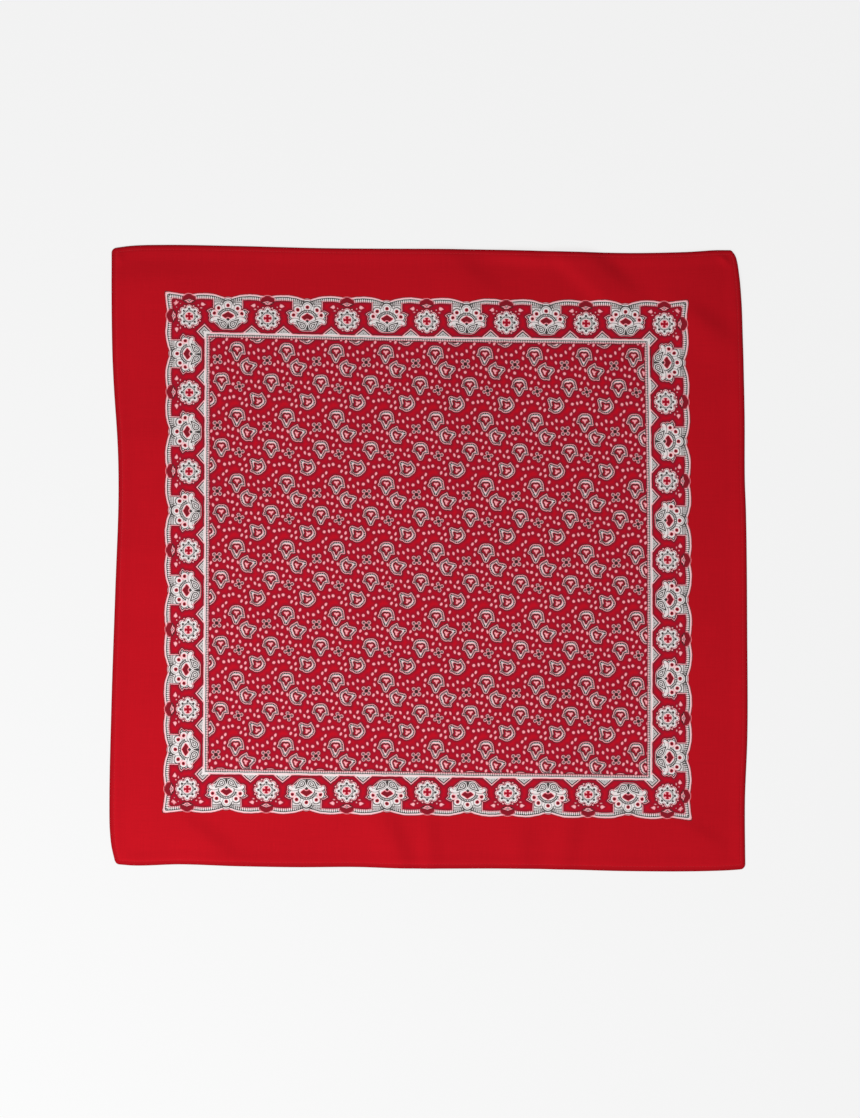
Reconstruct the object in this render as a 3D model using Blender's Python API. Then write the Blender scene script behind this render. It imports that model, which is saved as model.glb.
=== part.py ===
"""Square cotton bandana laid out flat, printed side up.

One cloth square carries the shape. Its four edges are turned under to the back as
narrow hems, and each hem is a strip of its own that lies between the square and the
surface below. The cloth rests flat in the middle and lifts a little over the hems and
over a few soft folds near its edges.

Units are metres and +Z is up. The origin is the centre of the outline's box, on the
resting surface. +Y is the side called top, +X the side called right.
"""

import math
from collections import namedtuple

import bmesh
import bpy
from mathutils import Vector

# Driving dimensions of the finished square.
CLOTH_WIDTH = 0.555  # left edge to right edge, before the edges wander
CLOTH_LENGTH = 0.544  # bottom edge to top edge
CLOTH_WALL = 0.001  # cloth wall
HEM_WIDTH = 0.005  # finished width of the turned hem
HEM_WALL = 0.001  # the layers turned under, pressed together
SEAM_GAP = 0.0003  # clearance between two pieces that are sewn together
HEM_RAMP = 0.0045  # how far inside the hem the cloth comes back down to the surface
CORNER_RADIUS = 0.004  # rounding of the four corners

# How the edges wander: the outer part of the cloth takes up the whole shift.
CALM_SHARE = 0.5  # the middle half of the cloth stays square

# Spacing of the mesh lines, finer where the folds lie.
COLUMN_STEP = 0.006
FOLDED_ROW_STEP = 0.006
CALM_ROW_STEP = 0.036
LOWER_FOLDS_END = -0.216  # the folds of the bottom edge lie below this height
UPPER_FOLDS_START = 0.176  # those of the top edge lie above this one

CLOTH_RED = (0.42, 0.006, 0.014, 1.0)
HEM_RED = (0.36, 0.005, 0.012, 1.0)
CLOTH_ROUGHNESS = 0.85

# Where an edge stands, each row a place along that edge and how far it lies outside the
# plain rectangle there. Both are in metres, and a minus sign is a step inwards.
EdgePoint = namedtuple("EdgePoint", "along outward")

TOP_EDGE = (
    EdgePoint(-0.2780, 0.0001),
    EdgePoint(-0.2600, 0.0025),
    EdgePoint(-0.2320, 0.0033),
    EdgePoint(-0.1760, 0.0025),
    EdgePoint(-0.0910, 0.0004),
    EdgePoint(0.0070, -0.0003),
    EdgePoint(0.0640, -0.0012),
    EdgePoint(0.1620, -0.0041),
    EdgePoint(0.1900, -0.0043),
    EdgePoint(0.2330, -0.0030),
    EdgePoint(0.2610, -0.0022),
    EdgePoint(0.2680, -0.0030),
)
BOTTOM_EDGE = (
    EdgePoint(-0.2750, -0.0026),
    EdgePoint(-0.2600, -0.0013),
    EdgePoint(-0.2180, -0.0025),
    EdgePoint(-0.1620, -0.0010),
    EdgePoint(-0.0630, -0.0005),
    EdgePoint(-0.0210, 0.0011),
    EdgePoint(0.0780, 0.0010),
    EdgePoint(0.1200, 0.0020),
    EdgePoint(0.1760, 0.0030),
    EdgePoint(0.2470, 0.0030),
    EdgePoint(0.2750, 0.0012),
    EdgePoint(0.2783, 0.0006),
)
LEFT_EDGE = (
    EdgePoint(-0.2694, -0.0024),
    EdgePoint(-0.2555, 0.0007),
    EdgePoint(-0.2414, 0.0027),
    EdgePoint(-0.2273, 0.0033),
    EdgePoint(-0.1287, 0.0007),
    EdgePoint(-0.0302, -0.0026),
    EdgePoint(0.0543, -0.0055),
    EdgePoint(0.0965, -0.0044),
    EdgePoint(0.1529, -0.0008),
    EdgePoint(0.1810, 0.0003),
    EdgePoint(0.2720, 0.0006),
)
RIGHT_EDGE = (
    EdgePoint(-0.2720, 0.0008),
    EdgePoint(-0.2130, 0.0012),
    EdgePoint(-0.1570, 0.0032),
    EdgePoint(-0.0720, 0.0030),
    EdgePoint(0.0400, 0.0018),
    EdgePoint(0.0680, 0.0007),
    EdgePoint(0.1247, 0.0005),
    EdgePoint(0.1951, -0.0016),
    EdgePoint(0.2233, -0.0024),
    EdgePoint(0.2514, -0.0048),
    EdgePoint(0.2655, -0.0074),
    EdgePoint(0.2700, -0.0096),
)

# The soft folds, each a low ridge round its middle. bearing is the crest's direction in
# degrees from +X, and at half_length or half_width from the middle most of it is gone.
Fold = namedtuple("Fold", "middle_x middle_y bearing half_length half_width height")

SOFT_FOLDS = (
    Fold(0.034, 0.250, -43.0, 0.030, 0.009, 0.0028),
    Fold(0.153, 0.247, -44.0, 0.034, 0.010, 0.0036),
    Fold(0.249, 0.200, -42.0, 0.028, 0.010, 0.0028),
    Fold(-0.196, -0.250, -39.0, 0.028, 0.010, 0.0020),
    Fold(-0.032, -0.248, -69.0, 0.028, 0.008, 0.0020),
    Fold(0.001, -0.250, -89.0, 0.030, 0.008, 0.0022),
    Fold(0.083, -0.253, -90.0, 0.024, 0.009, 0.0016),
    Fold(0.123, -0.249, 72.0, 0.028, 0.010, 0.0020),
    Fold(0.241, -0.245, -34.0, 0.022, 0.010, 0.0016),
    Fold(-0.258, 0.105, 0.0, 0.024, 0.011, 0.0012),
    Fold(-0.258, 0.007, 0.0, 0.024, 0.011, 0.0012),
)
LEAST_LIFT = 0.0001  # a lift below this counts as none, so that the middle is truly flat

HALF_WIDTH = CLOTH_WIDTH / 2
HALF_LENGTH = CLOTH_LENGTH / 2


def clear_scene():
    for old in list(bpy.data.objects):
        bpy.data.objects.remove(old, do_unlink=True)


def cloth_material(name, colour):
    material = bpy.data.materials.new(name)
    material.use_nodes = True
    shader = material.node_tree.nodes["Principled BSDF"]
    shader.inputs["Base Color"].default_value = colour
    shader.inputs["Roughness"].default_value = CLOTH_ROUGHNESS
    shader.inputs["Metallic"].default_value = 0.0
    material.diffuse_color = colour
    return material


def smooth_step(share):
    share = min(max(share, 0.0), 1.0)
    return share * share * (3.0 - 2.0 * share)


def edge_slopes(edge):
    """The slope of the smooth curve through an edge's points, at each point."""
    runs = [
        (after.outward - before.outward) / (after.along - before.along)
        for before, after in zip(edge, edge[1:])
    ]
    inner = [(before + after) / 2 for before, after in zip(runs, runs[1:])]
    return [runs[0], *inner, runs[-1]]


def edge_outward(edge, along):
    """How far an edge stands outside the plain rectangle at a place along it."""
    along = min(max(along, edge[0].along), edge[-1].along)
    slopes = edge_slopes(edge)
    for k in range(len(edge) - 1):
        before, after = edge[k], edge[k + 1]
        if along <= after.along:
            break
    run = after.along - before.along
    share = (along - before.along) / run
    near = (1 + 2 * share) * (1 - share) ** 2 * before.outward
    near += share * (1 - share) ** 2 * run * slopes[k]
    far = share**2 * (3 - 2 * share) * after.outward
    far += share**2 * (share - 1) * run * slopes[k + 1]
    return near + far


def rounded_corner(x, y):
    """Carries a corner of the plain rectangle over to a quarter of a circle."""
    over_x = (abs(x) - (HALF_WIDTH - CORNER_RADIUS)) / CORNER_RADIUS
    over_y = (abs(y) - (HALF_LENGTH - CORNER_RADIUS)) / CORNER_RADIUS
    if over_x <= 0 or over_y <= 0:
        return x, y
    round_x = over_x * math.sqrt(1 - over_y**2 / 2)
    round_y = over_y * math.sqrt(1 - over_x**2 / 2)
    out_x = HALF_WIDTH - CORNER_RADIUS + round_x * CORNER_RADIUS
    out_y = HALF_LENGTH - CORNER_RADIUS + round_y * CORNER_RADIUS
    return math.copysign(out_x, x), math.copysign(out_y, y)


def plan_place(x, y):
    """Where a point of the plain rectangle lies once the edges wander."""
    x, y = rounded_corner(x, y)
    across = max(0.0, abs(x) / HALF_WIDTH - CALM_SHARE) / (1 - CALM_SHARE)
    along = max(0.0, abs(y) / HALF_LENGTH - CALM_SHARE) / (1 - CALM_SHARE)
    out_x = across**2 * edge_outward(RIGHT_EDGE if x > 0 else LEFT_EDGE, y)
    out_y = along**2 * edge_outward(TOP_EDGE if y > 0 else BOTTOM_EDGE, x)
    return x + (out_x if x > 0 else -out_x), y + (out_y if y > 0 else -out_y)


def fold_lift(x, y):
    """Height of the surface below the cloth, where the soft folds raise it."""
    lift = 0.0
    for fold in SOFT_FOLDS:
        crest = Vector((math.cos(math.radians(fold.bearing)), math.sin(math.radians(fold.bearing))))
        away = Vector((x - fold.middle_x, y - fold.middle_y))
        along = away.dot(crest) / fold.half_length
        across = away.cross(crest) / fold.half_width
        lift += fold.height * math.exp(-(along**2) - across**2)
    return lift if lift > LEAST_LIFT else 0.0


def hem_lift(x, y):
    """Extra height of the cloth over the hems turned under its edges."""
    inside = min(HALF_WIDTH - abs(x), HALF_LENGTH - abs(y)) - HEM_WIDTH - SEAM_GAP
    return (HEM_WALL + SEAM_GAP) * (1 - smooth_step(inside / HEM_RAMP))


def spaced(start, end, largest_step):
    """Even places from start up to, but not with, end."""
    count = math.ceil((end - start) / largest_step)
    return [start + (end - start) * k / count for k in range(count)]


def column_places():
    hem_line = HALF_WIDTH - HEM_WIDTH - SEAM_GAP
    flat_line = hem_line - HEM_RAMP
    inner = spaced(-flat_line, flat_line, COLUMN_STEP)
    return [-HALF_WIDTH, -hem_line, *inner, flat_line, hem_line, HALF_WIDTH]


def row_places():
    hem_line = HALF_LENGTH - HEM_WIDTH - SEAM_GAP
    flat_line = hem_line - HEM_RAMP
    lower = spaced(-flat_line, LOWER_FOLDS_END, FOLDED_ROW_STEP)
    middle = spaced(LOWER_FOLDS_END, UPPER_FOLDS_START, CALM_ROW_STEP)
    upper = spaced(UPPER_FOLDS_START, flat_line, FOLDED_ROW_STEP)
    return [-HALF_LENGTH, -hem_line, *lower, *middle, *upper, flat_line, hem_line, HALF_LENGTH]


def sheet_object(name, columns, rows, lift_at, wall, material):
    """One layer of cloth: its underside is laid over the mesh lines, its wall stands on it."""
    mesh_maker = bmesh.new()
    grid = []
    for y in rows:
        line = []
        for x in columns:
            plan_x, plan_y = plan_place(x, y)
            line.append(mesh_maker.verts.new((plan_x, plan_y, lift_at(x, y))))
        grid.append(line)
    for lower, upper in zip(grid, grid[1:]):
        for k in range(len(columns) - 1):
            mesh_maker.faces.new((lower[k], lower[k + 1], upper[k + 1], upper[k]))
    mesh = bpy.data.meshes.new(name)
    mesh_maker.to_mesh(mesh)
    mesh_maker.free()
    mesh.shade_smooth()
    mesh.materials.append(material)
    sheet = bpy.data.objects.new(name, mesh)
    bpy.context.scene.collection.objects.link(sheet)
    thickness = sheet.modifiers.new("Cloth wall", "SOLIDIFY")
    thickness.thickness = wall
    thickness.offset = 1.0
    return sheet


def make_cloth_square():
    material = cloth_material("printed cotton", CLOTH_RED)

    def underside(x, y):
        return fold_lift(x, y) + hem_lift(x, y)

    return sheet_object(
        "cloth_square", column_places(), row_places(), underside, CLOTH_WALL, material
    )


def make_hems():
    """The side hems run the whole length, and the other two fit between them."""
    material = cloth_material("turned hem cotton", HEM_RED)
    columns = column_places()
    rows = row_places()
    left_strip = [-HALF_WIDTH, -HALF_WIDTH + HEM_WIDTH]
    right_strip = [HALF_WIDTH - HEM_WIDTH, HALF_WIDTH]
    bottom_strip = [-HALF_LENGTH, -HALF_LENGTH + HEM_WIDTH]
    top_strip = [HALF_LENGTH - HEM_WIDTH, HALF_LENGTH]
    between = columns[1:-1]
    sheet_object("hem_left", left_strip, rows, fold_lift, HEM_WALL, material)
    sheet_object("hem_right", right_strip, rows, fold_lift, HEM_WALL, material)
    sheet_object("hem_bottom", between, bottom_strip, fold_lift, HEM_WALL, material)
    sheet_object("hem_top", between, top_strip, fold_lift, HEM_WALL, material)


clear_scene()
make_cloth_square()
make_hems()
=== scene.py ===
"""Square cotton bandana laid out flat, printed side up.

Units are metres and +Z is up. +Y is the side called top, +X the side called right. The
print is drawn in millimetres of cloth.
"""

import math
from collections import namedtuple
from functools import partialmethod

import bmesh
import bpy
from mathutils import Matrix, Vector


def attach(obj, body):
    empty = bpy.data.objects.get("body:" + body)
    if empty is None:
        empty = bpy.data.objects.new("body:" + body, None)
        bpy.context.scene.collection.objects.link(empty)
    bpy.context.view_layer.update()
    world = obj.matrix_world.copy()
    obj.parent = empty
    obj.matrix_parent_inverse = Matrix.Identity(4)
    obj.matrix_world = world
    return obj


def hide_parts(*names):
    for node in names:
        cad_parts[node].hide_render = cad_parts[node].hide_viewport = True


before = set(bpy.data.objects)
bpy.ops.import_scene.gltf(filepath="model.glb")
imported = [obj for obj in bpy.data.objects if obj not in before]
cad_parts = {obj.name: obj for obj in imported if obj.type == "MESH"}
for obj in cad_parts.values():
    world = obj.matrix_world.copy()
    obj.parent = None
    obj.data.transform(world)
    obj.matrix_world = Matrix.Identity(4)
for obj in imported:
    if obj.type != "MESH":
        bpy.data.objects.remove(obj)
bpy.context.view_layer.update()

# ------------------------------------------------------------
# The cloth square: one piece of plain-weave cotton, printed first and cut afterwards, so
# its edges wander a little. It lies flat, with a few soft folds near the edges, and rolls
# over at the rim where it is turned under for the hems.

CLOTH_WIDTH = 0.555
CLOTH_LENGTH = 0.544
HALF_WIDTH = CLOTH_WIDTH / 2
HALF_LENGTH = CLOTH_LENGTH / 2
CORNER_RADIUS = 0.004
CALM_SHARE = 0.5  # the middle half of the cloth stays square
COTTON = 0.0003  # thickness of one layer of the cloth
HEM_WIDTH = 0.0048
HEM_RAMP = 0.0100  # how far inside the hem the cloth comes back down
HEM_LAYERS = 0.0004  # the turned layers, pressed together
HEM_ROOM = 0.0002  # for the threads below a hem and the air over it
HEM_RISE = HEM_LAYERS + HEM_ROOM
RIM_WIDTH = 0.0020  # how far in from the edge the rolled rim reaches
RIM_DROP = 0.75  # the share of its height that the edge rolls down
TURNED_LIP = 0.0004  # the very edge, where the cloth reaches down to the table
STITCH_LINE = 0.0040  # the sewing line's distance from the edge
STITCH_DIMPLE = 0.00018
STITCH_PULL = 0.0006  # how far to each side the sewing draws the cloth down
WAVE_HEIGHT = 0.00022  # how far the cloth lies off the table in its slow waves

# Where an edge stands: a place along that edge and how far it lies outside the plain
# rectangle there. A minus sign is a step inwards.
EdgePoint = namedtuple("EdgePoint", "along outward")


def edge_from(*rows):
    return [EdgePoint(*row) for row in rows]


TOP_EDGE = edge_from(
    (-0.278, 0.0001), (-0.26, 0.0025), (-0.232, 0.0033), (-0.176, 0.0025),
    (-0.091, 0.0004), (0.007, -0.0003), (0.064, -0.0012), (0.162, -0.0037),
    (0.19, -0.0039), (0.233, -0.003), (0.261, -0.0014), (0.268, -0.0014),
)
BOTTOM_EDGE = edge_from(
    (-0.275, -0.0022), (-0.26, -0.0011), (-0.218, -0.0022), (-0.162, -0.0004),
    (-0.115, 0.0004), (-0.063, 0.0002), (-0.021, 0.0014), (0.078, 0.0017),
    (0.12, 0.0024), (0.176, 0.0038), (0.247, 0.0037), (0.275, 0.0021),
    (0.2783, 0.0015),
)
LEFT_EDGE = edge_from(
    (-0.2694, -0.0024), (-0.2555, 0.0007), (-0.2414, 0.0021), (-0.2273, 0.0025),
    (-0.1287, 0.0007), (-0.0302, -0.0026), (0.0543, -0.0055), (0.0965, -0.0049),
    (0.1529, -0.0013), (0.181, -0.0001), (0.272, 0.0006),
)
RIGHT_EDGE = edge_from(
    (-0.272, 0.0021), (-0.213, 0.0018), (-0.157, 0.0039), (-0.072, 0.0038),
    (0.04, 0.0027), (0.068, 0.0017), (0.1247, 0.0015), (0.1951, -0.0002),
    (0.2233, -0.0012), (0.2514, -0.0036), (0.2655, -0.0062), (0.27, -0.0084),
)

# A fold is a low ridge round its middle. bearing is the crest's direction in degrees from
# +X. It falls away over left and right, the widths of its two sides as seen along the
# crest, and over half_length both ways. A flat fold has a broad top and steeper sides.
fold_columns = "middle_x middle_y bearing half_length left right height flat"
Fold = namedtuple("Fold", fold_columns, defaults=[False])

SOFT_FOLDS = (
    Fold(0.0315, 0.252, -41.0, 0.034, 0.013, 0.036, 0.0027),
    Fold(0.089, 0.2665, -6.0, 0.036, 0.014, 0.0065, 0.0021),
    Fold(0.145, 0.252, -44.0, 0.044, 0.0165, 0.0140, 0.0037, True),
    Fold(0.244, 0.204, -40.0, 0.034, 0.011, 0.020, 0.0029),
    Fold(0.232, 0.243, -16.0, 0.042, 0.030, 0.036, 0.0026),
    Fold(0.2655, 0.2630, -40.0, 0.005, 0.003, 0.003, 0.0012),
    Fold(-0.236, 0.240, 3.0, 0.044, 0.019, 0.065, 0.0035),
    Fold(-0.2690, 0.2620, -80.0, 0.005, 0.003, 0.004, 0.0008),
    Fold(-0.194, -0.250, -39.0, 0.032, 0.010, 0.028, 0.0024),
    Fold(-0.030, -0.248, -69.0, 0.030, 0.0075, 0.020, 0.0024),
    Fold(0.001, -0.250, -87.0, 0.030, 0.006, 0.007, 0.0020),
    Fold(0.082, -0.253, -90.0, 0.026, 0.009, 0.014, 0.0015),
    Fold(0.122, -0.249, 74.0, 0.030, 0.012, 0.009, 0.0024),
    Fold(0.241, -0.245, -34.0, 0.024, 0.009, 0.020, 0.0014),
    Fold(-0.258, 0.105, 0.0, 0.024, 0.011, 0.011, 0.0007),
    Fold(-0.258, 0.007, 0.0, 0.024, 0.011, 0.011, 0.0007),
)

# How fast each slow wave turns along x and y, in radians a metre, and where it starts.
SLOW_WAVES = ((31.0, 17.0, 0.6), (-39.0, 23.0, 2.1))


def smooth_step(share):
    share = min(max(share, 0.0), 1.0)
    return share * share * (3.0 - 2.0 * share)


def edge_slopes(edge):
    """The slope of the smooth curve through an edge's points, at each point."""
    runs = []
    for before, after in zip(edge, edge[1:]):
        runs.append((after.outward - before.outward) / (after.along - before.along))
    inner = [(before + after) / 2 for before, after in zip(runs, runs[1:])]
    return [runs[0], *inner, runs[-1]]


def edge_outward(edge, along):
    """How far an edge stands outside the plain rectangle at a place along it."""
    along = min(max(along, edge[0].along), edge[-1].along)
    slopes = edge_slopes(edge)
    for k in range(len(edge) - 1):
        before, after = edge[k], edge[k + 1]
        if along <= after.along:
            break
    run = after.along - before.along
    share = (along - before.along) / run
    near = (1 + 2 * share) * (1 - share) ** 2 * before.outward
    near += share * (1 - share) ** 2 * run * slopes[k]
    far = share**2 * (3 - 2 * share) * after.outward
    far += share**2 * (share - 1) * run * slopes[k + 1]
    return near + far


def rounded_corner(x, y):
    """Carries a corner of the plain rectangle over to a quarter of a circle."""
    straight_x = HALF_WIDTH - CORNER_RADIUS
    straight_y = HALF_LENGTH - CORNER_RADIUS
    over_x = (abs(x) - straight_x) / CORNER_RADIUS
    over_y = (abs(y) - straight_y) / CORNER_RADIUS
    if over_x <= 0 or over_y <= 0:
        return x, y
    out_x = straight_x + over_x * math.sqrt(1 - over_y**2 / 2) * CORNER_RADIUS
    out_y = straight_y + over_y * math.sqrt(1 - over_x**2 / 2) * CORNER_RADIUS
    return math.copysign(out_x, x), math.copysign(out_y, y)


def plan_place(x, y):
    """Where a point of the plain rectangle lies once the edges wander."""
    x, y = rounded_corner(x, y)
    across = max(0.0, abs(x) / HALF_WIDTH - CALM_SHARE) / (1 - CALM_SHARE)
    along = max(0.0, abs(y) / HALF_LENGTH - CALM_SHARE) / (1 - CALM_SHARE)
    out_x = across**2 * edge_outward(RIGHT_EDGE if x > 0 else LEFT_EDGE, y)
    out_y = along**2 * edge_outward(TOP_EDGE if y > 0 else BOTTOM_EDGE, x)
    return x + (out_x if x > 0 else -out_x), y + (out_y if y > 0 else -out_y)


def fold_lift(x, y):
    """Height of the cloth's underside where folds and slow waves raise it."""
    lift = 0.0
    for fold in SOFT_FOLDS:
        bearing_angle = math.radians(fold.bearing)
        crest = Vector((math.cos(bearing_angle), math.sin(bearing_angle)))
        away = Vector((x - fold.middle_x, y - fold.middle_y))
        along = away.dot(crest) / fold.half_length
        across = away.cross(crest)
        across /= fold.right if across > 0 else fold.left
        lift += fold.height * math.exp(-(along**2) - across ** (4 if fold.flat else 2))
    slow = 0.0
    for along_x, along_y, start in SLOW_WAVES:
        slow += math.sin(along_x * x + along_y * y + start)
    return lift + WAVE_HEIGHT * (1.0 + slow / len(SLOW_WAVES))


def inside_edge(x, y):
    """How far a place of the plain rectangle lies inside its nearest edge."""
    return min(HALF_WIDTH - abs(x), HALF_LENGTH - abs(y))


def hem_rise(x, y):
    """Extra height of the cloth over the hems turned under its edges."""
    inside = inside_edge(x, y) - HEM_WIDTH
    return HEM_RISE * (1 - smooth_step(inside / HEM_RAMP))


def top_height(x, y):
    inside = inside_edge(x, y)
    height = fold_lift(x, y) + hem_rise(x, y) + COTTON
    off_line = (inside - STITCH_LINE) / STITCH_PULL
    height -= STITCH_DIMPLE * math.exp(-(off_line**2))
    if inside < RIM_WIDTH:
        curl = 1 - inside / RIM_WIDTH
        height -= (HEM_RISE + COTTON) * RIM_DROP * (1 - math.sqrt(1 - curl**2))
    return height


def under_height(x, y):
    if inside_edge(x, y) < TURNED_LIP:
        return fold_lift(x, y)
    return fold_lift(x, y) + hem_rise(x, y)


def spaced(start, end, largest_step):
    """Even places from start up to, but not with, end."""
    count = math.ceil((end - start) / largest_step)
    return [start + (end - start) * k / count for k in range(count)]


# Where the mesh lines stand over the rim and the hem, and the widest steps elsewhere.
RIM_LINES = (0.0, 0.00012, 0.0004, 0.0008, 0.0013, 0.0020, 0.0026, 0.0031)
HEM_LINES = (0.0036, 0.0040, 0.0044, 0.0050, 0.0060, 0.0072, 0.0086)
BEYOND_HEM = 0.0012
FOLDED_STEP = 0.0022
FOLDED_BAND = 0.072  # width of the band along the edges where the folds lie
CALM_GAP = 0.004
CALM_STEP = 0.0055


def cloth_lines(half):
    """Mesh lines from one edge to the other: close at the rim, wider in the calm middle."""
    rim = [inside - half for inside in RIM_LINES + HEM_LINES]
    folded = spaced(rim[-1] + BEYOND_HEM, FOLDED_BAND - half, FOLDED_STEP)
    lower = rim + folded
    middle = spaced(lower[-1] + CALM_GAP, -lower[-1] - CALM_GAP / 2, CALM_STEP)
    return lower + middle + [-place for place in reversed(lower)]


def painted_edge_shade_share(x, y):
    """How strongly the colour is darkened as painted shade along the rolled edge: 1 on the
    folded edge itself, falling away over the hem, where the cloth is doubled.
    """
    return max(0.0, 1 - inside_edge(x, y) / HEM_WIDTH) ** 2


def bridge(maker, before, after):
    """The faces between two lines of points."""
    for k in range(len(before) - 1):
        maker.faces.new((before[k], before[k + 1], after[k + 1], after[k]))


def bridge_rings(maker, rings):
    for before, after in zip(rings, rings[1:]):
        bridge(maker, before + before[:1], after + after[:1])


def rim_loop(face):
    """The outermost points of one face, anticlockwise from the bottom left."""
    right = [row[-1] for row in face[1:-1]]
    left = [row[0] for row in face[1:-1]]
    return face[0] + right + face[-1][::-1] + left[::-1]


def add_object(name, data):
    added = bpy.data.objects.new(name, data)
    bpy.context.scene.collection.objects.link(added)
    return added


def piece_from(maker, name):
    """Turns a finished mesh into a named piece."""
    mesh = bpy.data.meshes.new(name)
    maker.to_mesh(mesh)
    maker.free()
    mesh.shade_smooth()
    return add_object(name, mesh)


def cloth_face(maker, columns, rows, height_at):
    """The points of one face of the cloth, row by row from the bottom edge up."""
    face = []
    for y in rows:
        face.append([maker.verts.new((*plan_place(x, y), height_at(x, y))) for x in columns])
    return face


def make_cloth_square():
    """Both faces of the cloth and its rim, one closed shell."""
    columns = cloth_lines(HALF_WIDTH)
    rows = cloth_lines(HALF_LENGTH)
    maker = bmesh.new()
    top = cloth_face(maker, columns, rows, top_height)
    under = cloth_face(maker, columns, rows, under_height)
    for row, next_row in zip(top, top[1:]):
        bridge(maker, row, next_row)
    for row, next_row in zip(under, under[1:]):
        bridge(maker, next_row, row)
    bridge_rings(maker, [rim_loop(under), rim_loop(top)])
    piece = piece_from(maker, "printed_square")
    # The painted shade along the rolled edge, kept on the points for the cloth's colour.
    painted_edge_shade = piece.data.attributes.new("painted_edge_shade", "FLOAT", "POINT")
    shares = [painted_edge_shade_share(x, y) for y in rows for x in columns]
    painted_edge_shade.data.foreach_set("value", shares + shares)
    return piece


square = make_cloth_square()

# The print was pulled a little askew on the cloth. These carry a place in the print, in
# millimetres from its middle, over to the cloth, and back.
MILLIMETRES = 1000.0  # in a metre
PRINT_REACH = 229.6
SCREEN_SPAN = 580.0  # how wide and tall the print's own map is
MAP_ROUNDS = 6

# How far it is pulled one way, in millimetres: at its middle, what being at its right, at
# its top and at both adds, and how far two sides bow, both one way and against each other.
Skew = namedtuple("Skew", "middle right top both bow spread")
SKEW_ACROSS = Skew(-0.65, 1.48, -0.21, -1.40, 1.15, 0.97)
SKEW_UP = Skew(1.27, -3.49, -0.87, -0.27, -0.44, -0.70)


def pull(skew, right, top, along, crosswise):
    even = skew.middle + skew.right * right + skew.top * top + skew.both * right * top
    return even + (skew.bow + skew.spread * along) * (1 - crosswise * crosswise)


def print_to_cloth(across, up):
    right = across / PRINT_REACH
    top = up / PRINT_REACH
    across += pull(SKEW_ACROSS, right, top, right, top)
    return across, up + pull(SKEW_UP, right, top, top, right)


def cloth_to_print(cloth_x, cloth_y):
    across, up = cloth_x, cloth_y
    for _ in range(MAP_ROUNDS):
        reached_x, reached_y = print_to_cloth(across, up)
        across += cloth_x - reached_x
        up += cloth_y - reached_y
    return across, up


def lay_print_map(piece):
    """The print's map, which both faces share: the dye goes right through the cloth."""
    mesh = piece.data
    layer = mesh.uv_layers.new(name="OFBake")
    places = []
    for vertex in mesh.vertices:
        across, up = cloth_to_print(vertex.co.x * MILLIMETRES, vertex.co.y * MILLIMETRES)
        places.append((0.5 + across / SCREEN_SPAN, 0.5 + up / SCREEN_SPAN))
    for loop in mesh.loops:
        layer.data[loop.index].uv = places[loop.vertex_index]


lay_print_map(square)


class Tone:
    """A socket whose value changes over the cloth. Sums on it add Math nodes."""

    def __init__(self, tree, socket):
        self.tree = tree
        self.socket = socket

    def node(self, kind, settings, values, output=0, result=None):
        """Adds a node of any kind: its settings first, then its sockets' values or links."""
        made = self.tree.nodes.new(kind)
        for name, value in settings.items():
            setattr(made, name, value)
        for name, value in values.items():
            if isinstance(value, Tone):
                self.tree.links.new(value.socket, made.inputs[name])
            else:
                made.inputs[name].default_value = value
        return (result or Tone)(self.tree, made.outputs[output])

    def maths(self, operation, *others, clamp=False):
        values = dict(enumerate((self, *others)))
        return self.node("ShaderNodeMath", {"operation": operation, "use_clamp": clamp}, values)

    def __rsub__(self, other):
        return self.node("ShaderNodeMath", {"operation": "SUBTRACT"}, {0: other, 1: self})

    __add__ = __radd__ = partialmethod(maths, "ADD")
    __sub__ = partialmethod(maths, "SUBTRACT")
    __mul__ = __rmul__ = partialmethod(maths, "MULTIPLY")
    __truediv__ = partialmethod(maths, "DIVIDE")
    __mod__ = partialmethod(maths, "FLOORED_MODULO")
    __pow__ = partialmethod(maths, "POWER")
    __neg__ = partialmethod(maths, "MULTIPLY", -1.0)
    __abs__ = partialmethod(maths, "ABSOLUTE")
    __lt__ = partialmethod(maths, "LESS_THAN")
    __gt__ = partialmethod(maths, "GREATER_THAN")


class Place(Tone):
    """A place on the cloth, as a vector socket: across, up, and nothing for height."""

    parts = None

    def vector(self, operation, values, output=0, result=None):
        links = dict(enumerate((self, *values)))
        settings = {"operation": operation}
        return self.node("ShaderNodeVectorMath", settings, links, output, result or Place)

    def part(self, which):
        if self.parts is None:
            self.parts = self.node("ShaderNodeSeparateXYZ", {}, {0: self}).socket.node.outputs
        return Tone(self.tree, self.parts[which])

    @property
    def across(self):
        return self.part(0)

    @property
    def up(self):
        return self.part(1)

    def shifted(self, x, y):
        return self.vector("SUBTRACT", [(x, y, 0.0)])

    def stretched(self, wide, tall):
        return self.vector("MULTIPLY", [(wide, tall, 0.0)])

    def wrapped(self, width, height):
        most = (width / 2, height / 2, 1.0)
        least = (-width / 2, -height / 2, -1.0)
        return self.vector("WRAP", [most, least])

    def turned(self, degrees):
        values = {"Vector": self, "Angle": math.radians(degrees)}
        return self.node("ShaderNodeVectorRotate", {"rotation_type": "Z_AXIS"}, values, 0, Place)

    def spread(self, span):
        """Carries a place from 0 to 1 over to one span's width round (0, 0)."""
        return self.vector("MULTIPLY_ADD", [(span, span, 0.0), (-span / 2, -span / 2, 0.0)])

    def away(self, x=0.0, y=0.0):
        return self.vector("DISTANCE", [(x, y, 0.0)], output=1, result=Tone)


def paired(across, up):
    """A place from two numbers."""
    values = {"X": across, "Y": up}
    return across.node("ShaderNodeCombineXYZ", {}, values, 0, Place)


# A Mix node's sockets go by number, since those for vectors and colours share their names.
def chosen(share, first, second):
    """The first place where share is 0, and the second where it is 1."""
    values = {0: share, 4: first, 5: second}
    return share.node("ShaderNodeMix", {"data_type": "VECTOR"}, values, 1, Place)


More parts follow.
